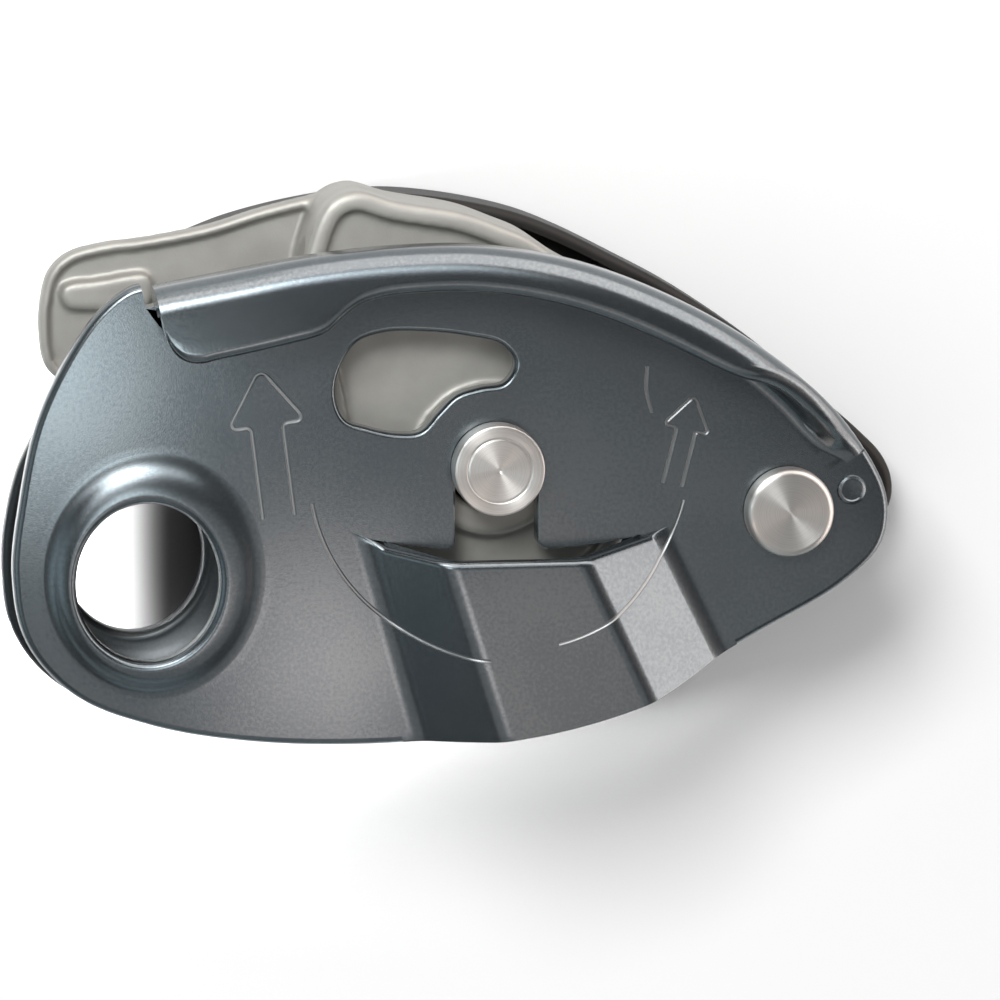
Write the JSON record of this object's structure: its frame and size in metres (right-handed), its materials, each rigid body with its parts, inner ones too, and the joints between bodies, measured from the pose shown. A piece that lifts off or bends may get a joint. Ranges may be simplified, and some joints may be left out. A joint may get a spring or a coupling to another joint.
{
  "type": "assisted braking belay device",
  "caption": "Rope belay device: two stamped plates round a pivoting cam, with a swinging side plate, a rolled lip, a collared attachment hole and a folding handle.",
  "frame": {"origin": "middle of the footprint, on the surface that the device lies on", "axes": "+X from the attachment hole to the plate pivot, +Y to the rolled lip, +Z out of the surface, through the opening side plate"},
  "size_m": [0.1074, 0.0658, 0.0376],
  "materials": {
    "plate_front": "satin anodised",
    "plate_back": "satin anodised",
    "cast_steel": "blasted casting",
    "turned_steel": "turned",
    "wear_steel": "satin",
    "spring_steel": "drawn wire",
    "bronze": "satin",
    "nylon": "fine texture"
  },
  "bodies": {
    "frame": {"fixed_side_plate": "plate_back", "cam_axle": "turned_steel", "cam_thrust_washer": "wear_steel", "spring_anchor_pin": "turned_steel", "cam_stop_pin": "turned_steel", "friction_plate": "wear_steel", "friction_plate_rivet_upper": "turned_steel", "friction_plate_rivet_lower": "turned_steel", "plate_pivot_rivet": "turned_steel", "pivot_spacer": "wear_steel", "pivot_washer": "wear_steel"},
    "moving_plate": {"moving_side_plate": "plate_front"},
    "cam": {"cam": "cast_steel", "cam_bushing": "bronze", "cam_return_spring": "spring_steel", "handle_hinge_pin": "turned_steel", "hinge_washer": "wear_steel"},
    "handle": {"handle_grip": "nylon", "handle_lever": "wear_steel", "handle_rivet_inner": "turned_steel", "handle_rivet_outer": "turned_steel", "handle_spring": "spring_steel"}
  },
  "joints": [
    {"name": "side_plate_pivot", "type": "hinge", "parent": "frame", "child": "moving_plate", "pos_m": [0.0367, -0.00475, 0.0285], "axis": [0, 0, 1], "range_deg": [-100, 0]},
    {"name": "cam_pivot", "type": "hinge", "parent": "frame", "child": "cam", "pos_m": [0.00244, 0.00115, 0.02], "axis": [0, 0, 1], "range_deg": [-25, 0], "stiffness_Nm_per_rad": 0.05, "springref_deg": 34.38},
    {"name": "handle_hinge", "type": "hinge", "parent": "cam", "child": "handle", "pos_m": [-0.0424, 0.01773, 0.0065], "axis": [0, 0, 1], "range_deg": [0, 180], "stiffness_Nm_per_rad": 0.004, "springref_deg": -34.38}
  ]
}
